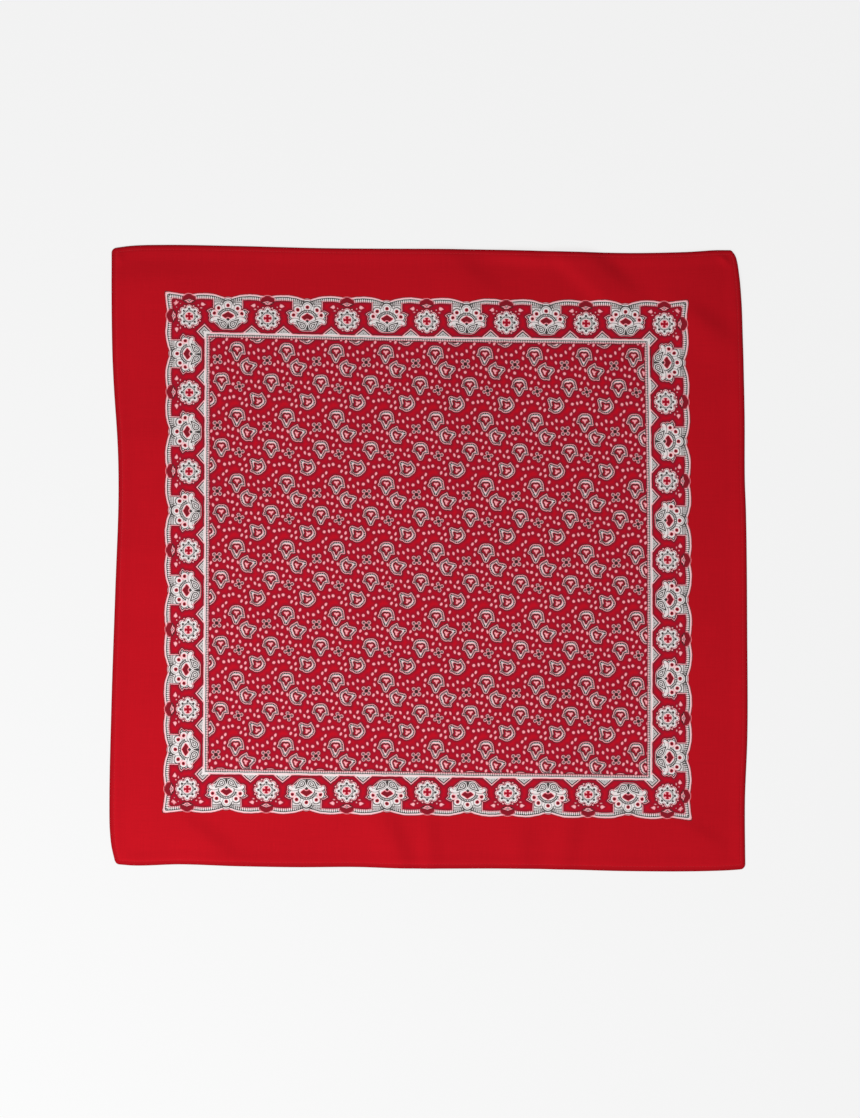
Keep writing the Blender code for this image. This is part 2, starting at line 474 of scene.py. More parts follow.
def dyed(share, first, second):
    """The first colour where share is 0, and the second where it is 1."""
    values = {0: share, 6: first, 7: second}
    return share.node("ShaderNodeMix", {"data_type": "RGBA"}, values, 2)


def smallest(first, *others):
    for other in others:
        first = first.maths("MINIMUM", other)
    return first


def largest(first, *others):
    for other in others:
        first = first.maths("MAXIMUM", other)
    return first


def cosine(angle):
    return angle.maths("COSINE")


def sine(angle):
    return angle.maths("SINE")


def bearing(up, across):
    return up.maths("ARCTAN2", across)


def ink(distance, edge):
    """How full the ink is: 1 inside a shape and 0 outside it, from the distance to its edge."""
    return distance.maths("MULTIPLY_ADD", -1.0 / edge, 0.5, clamp=True)


def bare(distance, edge):
    """The other way round: 0 inside a shape and 1 outside it."""
    return ink(distance, -edge)


# The drawing itself. Every figure is a distance to its own edge, in millimetres, and the
# numbers in a figure are its own places and sizes: across, then up, from its middle.
INK_SPREAD = 0.05  # how far the black creeps into the cloth
SPOT_OUTLINE = 0.08
SPOT_DEPTH = 0.6  # a spot counts as less deep than it is, and so stays pink


class Print:
    """Two screens, each kept as the distance to its edge, less than nothing inside it:
    the white, where the dye is taken out, and the black printed over both. The small
    pink spots on the red are kept apart, because the red creeps further into them."""

    def __init__(self, far):
        self.white = far
        self.black = far
        self.spots = far

    def lay_white(self, distance, outline=0.0):
        """outline is the width of the dark line printed round it."""
        if outline > 0.0:
            self.black = smallest(self.black, distance - outline)
        self.white = smallest(self.white, distance)
        self.black = largest(self.black, -distance)

    def lay_black(self, *distances):
        """Of several shapes, only what they share."""
        self.black = smallest(self.black, largest(*distances))

    def clear(self, distance):
        """Takes both off again, back to the red."""
        outside = -distance
        self.white = largest(self.white, outside)
        self.black = largest(self.black, outside)

    def lay_spot(self, distance):
        self.spots = smallest(self.spots, distance)

    def finish(self):
        self.lay_white(largest(self.spots, self.spots * SPOT_DEPTH), SPOT_OUTLINE)
        self.black = self.black - INK_SPREAD


def disc(place, x, y, radius):
    return place.away(x, y) - radius


def oval(place, x, y, half_width, half_height):
    """Rough distance to an oval's edge."""
    fit = place.shifted(x, y).stretched(1.0 / half_width, 1.0 / half_height)
    return (fit.away() - 1.0) * min(half_width, half_height)


def drop(place, head, nib, length):
    """Distance to a drop: a round head at (0, 0), a nib at (0, length), straight flanks."""
    slope = (head - nib) / length
    fall = math.sqrt(1.0 - slope * slope)
    side = abs(place.across)
    on_head = place.away() - head
    on_flank = side * fall + place.up * slope - head
    rise = place.up * fall - side * slope
    body = on_head + (rise > 0.0) * (on_flank - on_head)
    on_nib = place.away(0.0, length) - nib
    return body + (rise > fall * length) * (on_nib - body)


def drop_to(place, x, y, head, tip_x, tip_y, nib=0.15):
    """The same drop, from its head's centre to its nib's."""
    length = math.hypot(tip_x - x, tip_y - y)
    lean = math.degrees(math.atan2(tip_x - x, tip_y - y))
    return drop(place.shifted(x, y).turned(lean), head, nib, length)


def line(distance, inside, half_width):
    """A line drawn this far inside an edge."""
    return abs(distance + inside) - half_width


def from_stripe(across, pitch):
    """How far off the nearest of even stripes is, the first of them half a pitch along."""
    return abs(across % pitch - pitch / 2)


def from_ray(turn, count):
    """The same for even rays round a middle, as a share of their pitch."""
    return from_stripe(turn * (count / math.tau), 1.0)


ROW = 208.5  # the border figures' line, from the middle of the print
PITCH = 69.6  # from one rosette to the next
PACE = 0.99485  # the figures stand a little further apart than that
LAST_ROSETTE = 208.64
END_SHIFT = 1.23  # and the last ones a little nearer again
LEFT_SLIP = 1.9  # the left border lies this much too high, but for its ends
FRAME_OUT = 195.3  # the straight inner frame's outer edge
FRAME_IN = 190.8
FRAME_MIDDLE = 193.0
OUT_OF_SIGHT = 40.0  # takes a figure away where a corner leaves no room
CORNER_BLOOM = 220.3
TOP_LOBE = (0.0, 10.6)  # the middles of a palmette's lobes, the last two on both sides
SIDE_LOBE = (8.5, 8.1)
LOW_LOBE = (12.1, 3.5)
BUMP_RADIUS = 7.6  # the band's bump over a palmette
BLOCK_HALF_WIDTH = 13.3  # the hatched block behind the lobes
BLOCK_HALF_HEIGHT = 4.8
BLOCK_MIDDLE = 12.2


def draw(place, far):
    """The whole print, and the depth below its outer line. The high powers keep a change
    close to the corners."""
    toward_corner = (abs(place.up) / FRAME_MIDDLE) ** 6.0
    slip = (place.across < -FRAME_MIDDLE) * largest(1.0 - toward_corner, 0.0) * LEFT_SLIP
    place = paired(place.across, place.up - slip)
    across = abs(place.across)
    up = abs(place.up)
    out = largest(across, up)
    along = smallest(across, up)
    paced = along * PACE + ((along / LAST_ROSETTE) ** 8.0) * END_SHIFT
    past = along > ROW
    from_rosette = from_stripe(paced + PITCH / 2, PITCH)
    high = out - ROW
    art = Print(far)
    draw_field(art, place, out - FRAME_IN)
    palm = paired(past * OUT_OF_SIGHT + (PITCH / 2 - from_rosette), high)
    bump = disc(palm, *TOP_LOBE, BUMP_RADIUS)
    over_block = abs(palm.up - BLOCK_MIDDLE) - BLOCK_HALF_HEIGHT
    block = largest(palm.across - BLOCK_HALF_WIDTH, over_block)
    depth = draw_band(art, paced, from_rosette, high, past, out - along, smallest(block, bump))
    draw_palmette(art, palm, block, bump)
    draw_drops(art, paired(past * OUT_OF_SIGHT + from_rosette, high))
    spot = paired(from_rosette, high)
    draw_rosette(art, spot)
    cap = draw_cap(art, spot)
    draw_corner_bloom(art, paired(paced - CORNER_BLOOM, out - CORNER_BLOOM))
    draw_frame(art, along, paced, out, from_rosette)
    art.finish()
    return art, largest(depth, -bump, -cap)


SCALLOP_CREST = 15.0  # from a rosette's middle to a scallop's highest point
SCALLOP_HEIGHT = 20.95
FALL_BEYOND = 0.1072  # it falls by the square of this times the way from its crest
FALL_BEFORE = 0.0938  # the same on the rosette's side
CORNER_HEIGHT = 19.0  # from the last rosette a straight edge rises to the corner
CORNER_RISE = 0.12
TIP_REACH = 2.4  # where the corner's tip is bent back, and how strongly
TIP_BEND = 0.3
BAND_WIDTH = 5.1
BAND_BEADS = 1.7  # from one bead to the next


def draw_band(art, paced, from_rosette, high, past, from_corner, joined):
    """The scalloped outer band: a white line, a dark cord and a row of white beads.
    joined is what it runs into over each palmette."""
    to_crest = from_rosette - SCALLOP_CREST
    swing = largest(to_crest * FALL_BEYOND, to_crest * -FALL_BEFORE)
    wave = SCALLOP_HEIGHT - swing * swing
    corner = CORNER_HEIGHT + from_rosette * CORNER_RISE
    edge = wave + past * (corner - wave)
    edge = edge - past * largest(TIP_REACH - from_corner, 0.0) * TIP_BEND
    depth = edge - high
    art.lay_white(smallest(joined, largest(-depth, depth - BAND_WIDTH)), 0.4)
    bead = from_stripe(paced, BAND_BEADS)
    art.lay_black(line(depth, -1.9, 0.24))
    art.lay_black(disc(paired(bead, depth), 0.0, 2.3, 0.62))
    art.lay_black(line(depth, -3.6, 1.3), bead - 0.24)
    return depth


def draw_palmette(art, palm, block, bump):
    """A fan of five lobes over a beaded arch, with wings and horns, and paisleys below."""
    draw_block(art, palm, block, bump)
    draw_wings(art, palm)
    draw_crown(art, palm)
    draw_arch(art, palm)
    draw_horns(art, palm)


def draw_block(art, palm, block, bump):
    """The hatching behind the lobes, and two lines along the bump over them."""
    side = palm.across
    up = palm.up
    art.lay_black(abs(side - 12.2) - 0.22, block)
    span = abs(side - 7.9) - 3.9
    art.lay_black(span, abs(up - 14.7) - 1.6, from_stripe(side, 0.9) - 0.13)
    art.lay_black(span, abs(up - 13.3) - 0.2)
    art.lay_black(line(bump, 0.95, 0.2), 12.0 - up)
    art.lay_black(line(bump, 2.45, 0.3), 12.0 - up)


def draw_wings(art, palm):
    """A wing on each side: a leaf's tip over two lobes, and a skirt down to the frame."""
    side = palm.across
    up = palm.up
    slant = side * 0.678 - up * 0.736 - 12.0
    slope = side * 0.316 - up * 0.949 - 11.75
    edge = smallest(
        drop_to(palm, 14.6, 4.9, 2.9, 18.4, 5.5, 0.4),
        disc(palm, 14.5, 1.3, 2.7),
        disc(palm, 14.2, -2.2, 2.7),
        largest(slant, slope, -10.95 - up, side - 13.4, up - 1.0),
    )
    art.lay_white(edge, 0.55)
    art.lay_black(line(edge, 1.1, 0.42))
    art.lay_black(line(edge, 2.5, 0.24))


def draw_crown(art, palm):
    """The fan itself, with a dark-eyed red spot in each of its lobes."""
    foot = -0.5 - palm.up
    crown = smallest(
        disc(palm, *TOP_LOBE, 4.3),
        disc(palm, *SIDE_LOBE, 3.6),
        disc(palm, *LOW_LOBE, 3.3),
        disc(palm, 0.0, 1.0, 11.0),
    )
    art.lay_white(largest(crown, foot), 0.45)
    lobes = smallest(palm.away(*TOP_LOBE), palm.away(*SIDE_LOBE), palm.away(*LOW_LOBE))
    art.lay_black(line(lobes, -3.3, 0.12), foot)
    art.clear((lobes - 1.5) * 3.4)
    art.lay_black(lobes - 0.7)


ARCH_BEADS = 5.5 * math.tau


def draw_arch(art, palm):
    """The arch: dark beads between two lines, over a hatched lens and a small ring."""
    side = palm.across
    up = palm.up
    arch = oval(palm, 0.0, -0.5, 9.2, 8.6)
    above = -1.6 - up
    art.lay_white(arch)
    art.lay_black(line(arch, 0.2, 0.34), above)
    art.lay_black(line(arch, 1.95, 0.3), above)
    bead = from_ray(bearing(up + 0.5, side), ARCH_BEADS)
    art.lay_black(line(arch, 1.05, 0.7), 0.28 - bead, above)
    lens = largest((side * 0.62 + abs(up - 1.3) - 3.9) * 0.85, disc(palm, 0.0, 4.9, 6.0))
    art.clear(largest(lens, side - 5.0) * 1.8)
    art.lay_black(lens + 0.4, from_stripe(side, 0.8) - 0.11)
    ring = abs(disc(palm, 0.0, -2.3, 2.2)) - 0.42
    art.lay_white(largest(ring, side - 1.9, -0.9 - up))


def draw_horns(art, palm):
    """A horn on each side that curls over a paisley, and what stands between the two."""
    body = drop_to(palm, 4.4, -6.0, 2.6, 9.2, -1.9)
    horn = smallest(disc(palm, 14.1, -2.4, 1.5), oval(palm, 10.9, -1.2, 3.9, 1.6), body - 1.2)
    art.lay_white(disc(palm, 10.5, -1.0, 3.6))
    art.lay_white(horn * 1.6, 0.45)
    art.lay_black(line(body, 0.0, 0.42))
    art.lay_black(line(body, 1.5, 0.3))
    art.lay_black(palm.across * 0.9 + abs(palm.up + 1.75) - 1.45)
    art.lay_black(drop(palm.shifted(0.0, -8.4), 1.2, 0.3, 2.8))


def draw_drops(art, spot):
    """The leaf drops and dots between rosette and band."""
    leaf = drop_to(spot, 12.1, 11.0, 1.6, 14.8, 10.8)
    art.lay_spot(smallest(leaf, drop_to(spot, 11.9, 11.2, 1.2, 11.4, 12.8)) * 1.2)
    art.lay_spot(smallest(disc(spot, 8.4, 10.0, 0.7), oval(spot, 10.9, 7.8, 1.15, 0.65)))


# Across, up and radius of each spot in a corner.
BLOOM_SPOTS = (
    (0.0, 0.0, 1.2), (0.3, 1.3, 0.75), (1.3, 0.3, 0.75), (-1.2, 0.6, 0.6), (0.6, -1.2, 0.6),
    (-3.4, -0.7, 0.5), (-0.7, -3.4, 0.5),
)


def draw_corner_bloom(art, place):
    """A small flower and two loose spots in each corner of the band."""
    art.lay_spot(smallest(*[disc(place, *spot) for spot in BLOOM_SPOTS]))


PETALS = 8
PETAL_TICKS = 40
EYE_RAYS = 24


def draw_rosette(art, spot):
    """Eight round petals with a bead in each notch, round a red eye with a cross."""
    spot = spot.stretched(0.97, 1.03)
    reach = spot.away()
    turn = bearing(spot.up, spot.across)
    part = math.tau / PETALS
    swing = from_stripe(turn + part / 2, part)
    petal = paired(reach * cosine(swing), reach * sine(swing))
    edge = smallest(disc(petal, 7.6, 0.0, 3.15), reach - 8.8)
    art.lay_white(smallest(edge, disc(petal, 9.4, 3.9, 0.85)), 0.5)
    art.lay_black(line(edge, 1.0, 0.3), from_ray(turn, PETAL_TICKS) - 0.2)
    art.lay_black(disc(petal, 8.2, 3.4, 0.66))
    art.lay_black(disc(petal, 6.8, 0.0, 0.98))
    art.lay_black(line(reach + swing * 2.4, -6.4, 0.14))
    art.lay_black(line(reach, -5.0, 0.6), 0.24 - from_ray(turn, EYE_RAYS))
    art.clear((reach - 3.35) * 2.5)
    folded = paired(abs(spot.across), abs(spot.up))
    art.lay_white(drop_to(folded, 2.1, 2.1, 0.95, 1.45, 1.45, 0.5) * 1.1)


def draw_cap(art, spot):
    """The red disc that breaks the band over each rosette, with a small lotus in it."""
    round_patch = oval(spot, 0.0, 15.0, 6.3, 4.5)
    art.clear(round_patch)
    art.lay_black(round_patch + 0.3, from_stripe(spot.across, 0.8) - 0.07)
    arc = oval(spot, 0.0, 15.0, 7.0, 5.3)
    art.lay_white(largest(abs(arc) - 0.2, 17.6 - spot.up))
    lotus = smallest(
        (spot.across * 0.29 + abs(spot.up - 13.9) - 1.4) * 0.95,
        oval(spot, 0.0, 12.9, 2.6, 0.9),
        disc(spot, 0.0, 14.1, 1.3),
    )
    art.lay_white(lotus, 0.4)
    art.lay_black(line(lotus, 0.85, 0.16))
    return arc


PYRAMID_PLACE = 14.0  # from a rosette's middle
LAST_PYRAMID = 181.0
DIAGONAL = 0.7071  # turns a sum of two sides into the way square to a slope
FRAME_BEADS = 1.5


def draw_frame(art, along, paced, out, from_rosette):
    """The straight inner frame, with a small pyramid either side of each rosette and a
    half diamond at each corner."""
    beyond_last = (along > LAST_PYRAMID) * OUT_OF_SIGHT
    stand = paired(beyond_last + (from_rosette - PYRAMID_PLACE), out - FRAME_OUT)
    tooth = (abs(stand.across) * 0.88 + stand.up - 6.95) * 0.75
    tooth = largest(tooth, -stand.up - 2.0)
    diamond = (abs(along - FRAME_OUT) + abs(out - FRAME_OUT) - 7.2) * DIAGONAL
    stands = smallest(tooth, diamond)
    rail = largest(out - FRAME_OUT, FRAME_IN - out)
    art.lay_white(smallest(stands, rail * 0.9), 0.5)
    beyond_rail = FRAME_OUT + 0.4 - out
    for inside, half_width in ((1.5, 0.46), (2.75, 0.12), (3.7, 0.28)):
        art.lay_black(line(stands, inside, half_width), beyond_rail)
    lie = FRAME_OUT - out
    bead = from_stripe(paced, FRAME_BEADS)
    art.lay_black(line(lie, -2.15, 0.19), rail)
    art.lay_black(disc(paired(bead, lie), 0.0, 2.5, 0.5), rail)
    art.lay_black(line(lie, -3.5, 1.1), bead - 0.22, rail)


# The field inside the frame repeats: four buds, two flowers and the seeds between them.
REPEAT = (43.45, 58.19)
REPEAT_START = (-166.63, 179.08)
CELL_SHIFT = 16.6  # from a repeat's start across to the middle of its seeds
SEED_REACH = 1.5  # how far a seed may reach over a repeat's edge
SEED_STRETCH = 1.1  # carries a seed's own measure back to millimetres
SEED_RADIUS = 1.22
BUD_TICKS = 28

# wide and tall stretch a motif, and a wide less than nothing is a mirrored one.
Motif = namedtuple("Motif", "x y turn wide tall")

BUDS = (
    Motif(0.0, 0.0, 0.0, 1.0, 1.0),
    Motif(9.9, -13.6, -111.0, 1.07, 0.88),
    Motif(29.9, -27.2, -3.0, 1.0, 0.97),
    Motif(17.6, 15.2, 140.0, -1.04, 0.93),
)
FLOWERS = (Motif(26.2, -7.8, -4.0, 1.0, 1.0), Motif(2.0, 26.9, 30.0, 0.93, 0.93))

# The seeds by their shape: about half their width and half their height, and their lean
# to the right in degrees, with the places of each kind.
ROUND_SEEDS = (1.30, 1.35, 0.0)
RIGHT_SEEDS = (0.98, 1.60, 17.0)
LEFT_SEEDS = (1.02, 1.55, -22.0)
SEEDS = {
    ROUND_SEEDS: (
        (-3.6, 29.0), (-5.8, 23.0), (10.2, 25.0), (19.7, 26.3), (-3.0, 17.8), (23.3, 0.7),
        (-4.1, -17.1), (26.0, -15.2), (2.3, 16.3), (27.6, 18.8), (32.6, 16.1),
    ),
    RIGHT_SEEDS: (
        (15.9, 27.6), (-6.6, 16.9), (27.5, 3.6), (33.3, -2.2), (10.2, -1.6), (14.8, -1.3),
        (18.6, 1.2), (18.7, -5.6), (1.0, -12.1), (35.8, -9.0), (35.7, -16.2), (3.2, -23.9),
        (12.4, -26.6), (18.9, -18.6), (22.6, -19.9),
    ),
    LEFT_SEEDS: (
        (6.7, 21.0), (7.9, 15.4), (4.3, 11.9), (8.4, 10.4), (11.7, 4.9), (34.3, 10.1),
        (31.4, 7.3), (34.0, 2.6), (-3.6, -10.7), (32.6, -11.4), (0.2, -19.0), (-2.7, -23.4),
        (8.1, -26.7), (18.7, -26.6), (20.8, -13.0),
    ),
}


def nearest(cell, motifs):
    """The place as the nearest of these motifs sees it, and how far off that one is."""
    best = None
    for motif in motifs:
        seen = cell.shifted(motif.x, motif.y).wrapped(*REPEAT).turned(motif.turn)
        seen = seen.stretched(1.0 / motif.wide, 1.0 / motif.tall)
        distance = seen.away()
        if best is None:
            best = seen
            least = distance
        else:
            best = chosen(distance < least, best, seen)
            least = smallest(least, distance)
    return best, least


def draw_bud(art, bud):
    """A paisley bud with a ticked rim round a red heart. Returns the pink core's shape."""
    edge = smallest(
        disc(bud, -0.9, 2.6, 5.5),
        disc(bud, 1.2, 2.7, 5.4),
        drop_to(bud, -0.2, 0.4, 5.4, -0.5, -6.7, 2.3),
        drop_to(bud, -1.0, 2.2, 5.0, -6.0, 0.2, 1.6),
        drop_to(bud, 1.9, 1.8, 4.9, 6.7, -2.5, 0.7),
    )
    art.lay_white(edge, 0.55)
    tick = from_ray(bearing(bud.up, bud.across), BUD_TICKS)
    art.lay_black(line(edge, 1.4, 0.68), 0.13 - tick)
    half = paired(abs(bud.across + 0.2), bud.up)
    inner = drop_to(half, 1.3, 1.6, 2.7, 3.9, 0.8, 0.5)
    inner = smallest(inner, drop_to(half, 0.0, 1.2, 2.6, 0.0, -3.3, 0.8))
    art.clear(inner)
    art.lay_black(line(inner, 0.2, 0.36))
    return smallest(
        disc(bud, -1.2, 2.0, 1.05),
        disc(bud, 1.2, 2.0, 1.05),
        drop_to(bud, 0.1, 1.5, 1.3, 0.1, -0.7, 0.4),
    )


def draw_flower(art, bloom, middle):
    """Four hatched petals round a dark eye. middle is the distance to the eye's middle."""
    folded = paired(abs(bloom.across), abs(bloom.up))
    petals = smallest(disc(folded, 2.2, 2.3, 1.85), middle - 2.5)
    art.lay_white(petals, 0.35)
    hatch = smallest(from_stripe(bloom.up, 0.9) - 0.29, from_stripe(bloom.across, 0.9) - 0.2)
    art.lay_black(petals + 0.7, hatch)
    art.clear(middle - 1.5)
    art.lay_black(middle - 1.3)


def draw_field(art, place, beyond):
    """beyond is how far outside the field a place lies: the frame cuts everything off."""
    cell = place.shifted(*REPEAT_START)
    bud, _ = nearest(cell, BUDS)
    core = draw_bud(art, bud)
    bloom, middle = nearest(cell, FLOWERS)
    draw_flower(art, bloom, middle)
    art.lay_spot(largest(smallest(core, seeds(cell)), beyond))
    art.white = largest(art.white, beyond)
    art.black = largest(art.black, beyond)


def seeds(cell):
    """Each kind's places are leant and stretched with the cloth, so a seed is one distance."""
    home = cell.shifted(CELL_SHIFT, 0.0).wrapped(*REPEAT)
    near = None
    for (wide, tall, lean), places in SEEDS.items():
        seen = home.turned(-lean).stretched(1.0 / wide, 1.0 / tall)
        cos_lean = math.cos(math.radians(lean))
        sin_lean = math.sin(math.radians(lean))
        for x, y in repeated(places):
            leant_x = (x * cos_lean + y * sin_lean) / wide
            leant_y = (y * cos_lean - x * sin_lean) / tall
            distance = seen.away(leant_x, leant_y)
            near = distance if near is None else smallest(near, distance)
    return near * SEED_STRETCH - SEED_RADIUS


def repeated(places):
    """The places as they fall in one repeat, with those that reach over its edges twice."""
    found = []
    for x, y in places:
        for shift_x in (-REPEAT[0], 0.0, REPEAT[0]):
            for shift_y in (-REPEAT[1], 0.0, REPEAT[1]):
                near_x = x - CELL_SHIFT + shift_x
                near_y = y + shift_y
                over_x = abs(near_x) - REPEAT[0] / 2
                over_y = abs(near_y) - REPEAT[1] / 2
                if over_x < SEED_REACH and over_y < SEED_REACH:
                    found.append((near_x, near_y))
    return found


MARGIN_RED = (0.47, 0.0044, 0.0112, 1.0)
PRINT_RED = (0.50, 0.0045, 0.0160, 1.0)
DULLED_RED = (0.34, 0.0055, 0.0200, 1.0)  # close round the motifs, where the paste crept
BLEACHED_PINK = (0.98, 0.30, 0.35, 1.0)
BLEACHED_WHITE = (0.80, 0.74, 0.735, 1.0)
PRINT_BLACK = (0.026, 0.018, 0.017, 1.0)
WHITE_EDGE = 0.45  # how softly the white ends, in millimetres
BLACK_EDGE = 0.22
BLACK_STRENGTH = 0.96
PINK_RIM = 0.85  # how far inside a white edge the red still tints it by half
PINK_FADE = 1.3
MARGIN_EDGE = 0.3  # how softly the plain margin ends
DULLED_REACH = 1.7  # how far from the motifs the dulled red is half gone
DULLED_FADE = 2.0
FAR_OFF = 9.0  # further from every edge than any fade reaches
WANDER = 0.7  # how far the drawn lines stray, and how often they do, to the millimetre
WANDER_SCALE = 0.16
PATCH_SCALE = 0.012
RIM_SHADE = 0.5  # painted shade: how much darker the colour is made towards the rolled, doubled edge
THREAD_PITCH = 0.42  # millimetres from one thread to the next
SLUB_STRETCHES = ((0.035, 1.3), (1.2, 0.04))  # long streaks across, and then up
THREAD_RELIEF = 0.0001  # how deep the weave is, in metres


def node_of(owner, name, values):
    """The node of this name in a new material or world, with its values set."""
    owner.use_nodes = True
    node = owner.node_tree.nodes[name]
    for socket, value in values.items():
        node.inputs[socket].default_value = value
    return node


def dull_cotton(name):
    """A new material with a matt cotton shader, and the tone its drawing starts from."""
    material = bpy.data.materials.new(name)
    values = {"Specular IOR Level": 0.04, "Sheen Weight": 0.03, "Sheen Roughness": 0.5}
    shader = node_of(material, "Principled BSDF", values)
    return material, Tone(material.node_tree, None), shader


def noise(place, scale, detail, roughness=0.5, output="Fac", result=Tone):
    """Uneven tones over the cloth, from 0 to 1, or three of them at once as a place."""
    values = {"Vector": place, "Scale": scale, "Detail": detail, "Roughness": roughness}
    return place.node("ShaderNodeTexNoise", {"noise_dimensions": "2D"}, values, output, result)


def woven(place):
    """Height of the plain weave, from 0 in its pores to 1 on its threads."""
    turns = place.stretched(math.pi / THREAD_PITCH, math.pi / THREAD_PITCH)
    return 0.5 + 0.5 * sine(turns.across) * sine(turns.up)


def slubbed(place, seed):
    """Uneven threads: long streaks both ways, from about -0.5 to 0.5."""
    streaks = None
    for wide, tall in SLUB_STRETCHES:
        at = place.stretched(wide, tall).shifted(seed, seed)
        streak = noise(at, 1.0, 2.0, roughness=0.6) - 0.5
        streaks = streak if streaks is None else streaks + streak
    return streaks


def shader_link(shader, name, tone):
    tone.tree.links.new(tone.socket, shader.inputs[name])


def shaded(colour, light):
    """The colour made darker or lighter by a tone."""
    settings = {"data_type": "RGBA", "blend_type": "MULTIPLY"}
    return light.node("ShaderNodeMix", settings, {0: 1.0, 6: colour, 7: light}, 2)


def add_relief(shader, weave, slubs):
    relief = 0.6 * weave + 0.8 * slubs
    values = {"Strength": 0.5, "Distance": THREAD_RELIEF, "Height": relief}
    shader_link(shader, "Normal", relief.node("ShaderNodeBump", {}, values))


def printed_cotton():
    material, start, shader = dull_cotton("printed cotton")
    chart = start.node("ShaderNodeUVMap", {"uv_map": "OFBake"}, {}, 0, Place)
    cloth = chart.spread(SCREEN_SPAN)
    wander = noise(cloth, WANDER_SCALE, 2.0, output="Color", result=Place)
    place = cloth.vector("ADD", [wander.spread(WANDER)])
    art, depth = draw(place, place.across * 0.0 + FAR_OFF)
    clear_ground = bare(smallest(art.white, art.black) - DULLED_REACH, DULLED_FADE)
    red = dyed(clear_ground, DULLED_RED, PRINT_RED)
    red = dyed(bare(depth, MARGIN_EDGE), MARGIN_RED, red)
    colour = dyed(ink(art.white, WHITE_EDGE), red, BLEACHED_PINK)
    colour = dyed(bare(-art.white - PINK_RIM, PINK_FADE), colour, BLEACHED_WHITE)
    black = ink(art.black, BLACK_EDGE) * BLACK_STRENGTH
    colour = dyed(black, colour, PRINT_BLACK)
    weave = woven(cloth)
    slubs = slubbed(cloth, 3.0)
    patchy = noise(cloth, PATCH_SCALE, 3.0) - 0.5
    # Painted shade: the colour darkens towards the rolled edge, by the share kept on the mesh.
    rim = start.node("ShaderNodeAttribute", {"attribute_name": "painted_edge_shade"}, {}, "Fac")
    # Painted shade in the weave's pores: the threads are painted lighter than the gaps between
    # them. The slubs and patches are uneven dye.
    light = (0.95 + 0.09 * weave + 0.12 * slubs + 0.10 * patchy) * (1.0 - RIM_SHADE * rim)
    shader_link(shader, "Base Color", shaded(colour, light))
    shader_link(shader, "Roughness", 0.90 - 0.06 * weave - 0.05 * black)
    add_relief(shader, weave, slubs)
    return material


square.data.materials.append(printed_cotton())
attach(square, "root")
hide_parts("cloth_square")

# ------------------------------------------------------------
# The four hems: each edge of the same cloth, turned under twice to the back and pressed.
# They are the cloth's own back, so plain red, and lie between the square and the table.
# The side hems run the whole length, and the other two fit between them.

HEM_INSET = 0.0005  # the rolled rim of the square closes round the hem's outer edge
HEM_CLEARANCE = 0.00014  # room below for the bobbin thread
HEM_GAP = 0.0003  # between two hems at a corner
HEM_STEP = 0.003
HEM_RED = (0.43, 0.0065, 0.0150, 1.0)
# Where a hem's strip has its mesh lines, from its outer edge inwards.
HEM_PROFILE = (0.0, 0.0002, 0.0006, 0.0021, 0.0037, 0.0041, 0.0043)
HEM_SOFTNESS = 0.0004  # how far in from its long edges a hem is rounded
HEM_EDGE_SHARE = 0.25  # how thick the edges themselves are beside the rest


def hem_faces(from_outside):
    """The underside's and the top's height on a hem, whose two long edges are rounded."""
    nearest_edge = min(from_outside, HEM_PROFILE[-1] - from_outside)
    share = min(nearest_edge / HEM_SOFTNESS, 1.0)
    fullness = math.sqrt(1 - (1 - share) ** 2)
    middle = HEM_CLEARANCE + HEM_LAYERS / 2
    half = HEM_LAYERS / 2 * (HEM_EDGE_SHARE + (1 - HEM_EDGE_SHARE) * fullness)
    return middle - half, middle + half


def make_hem(name, side, ends):
    """side is the direction from the cloth's middle to this edge. The hem runs from -ends
    to ends along it."""
    along_x = side[0] == 0
    half = HALF_LENGTH if along_x else HALF_WIDTH
    sign = sum(side)
    maker = bmesh.new()
    rings = []
    for place in spaced(-ends, ends, HEM_STEP) + [ends]:
        ring = []
        for from_outside in HEM_PROFILE:
            out = sign * (half - HEM_INSET - from_outside)
            x, y = (place, out) if along_x else (out, place)
            plan_x, plan_y = plan_place(x, y)
            low, high = hem_faces(from_outside)
            lift = fold_lift(x, y)
            ring.append((plan_x, plan_y, lift + low, lift + high))
        under = [maker.verts.new((x, y, low)) for x, y, low, high in ring]
        top = [maker.verts.new((x, y, high)) for x, y, low, high in ring]
        rings.append(under + top[::-1])
    bridge_rings(maker, rings)
    maker.faces.new(rings[0])
    maker.faces.new(rings[-1][::-1])
    bmesh.ops.recalc_face_normals(maker, faces=maker.faces)
    return piece_from(maker, name)


def hem_cotton():
    material, start, shader = dull_cotton("turned hem cotton")
    where = start.node("ShaderNodeTexCoord", {}, {}, "Object", Place)
    cloth = where.stretched(MILLIMETRES, MILLIMETRES)
    weave = woven(cloth)
    slubs = slubbed(cloth, 11.0)
    # Painted shade in the weave's pores: the threads are painted lighter than the gaps. The
    # slubs are uneven threads.
    light = 0.95 + 0.07 * weave + 0.16 * slubs
    shader_link(shader, "Base Color", shaded(HEM_RED, light))
    shader_link(shader, "Roughness", 0.90 - 0.06 * weave)
    add_relief(shader, weave, slubs)
    return material


hem_material = hem_cotton()
side_reach = HALF_LENGTH - HEM_INSET
between_reach = HALF_WIDTH - HEM_INSET - HEM_PROFILE[-1] - HEM_GAP
for name, side, ends in (
    ("hem_left", (-1, 0), side_reach),
    ("hem_right", (1, 0), side_reach),
    ("hem_bottom", (0, -1), between_reach),
    ("hem_top", (0, 1), between_reach),
):
    hem = make_hem("turned_" + name, side, ends)
    hem.data.materials.append(hem_material)
    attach(hem, "root")
    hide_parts(name)

# ------------------------------------------------------------
# The sewing: one line of lockstitch in red cotton thread along each hem, 4 mm in from the
# edge. The needle thread shows as short stitches on the front, and the bobbin thread on
# the back.

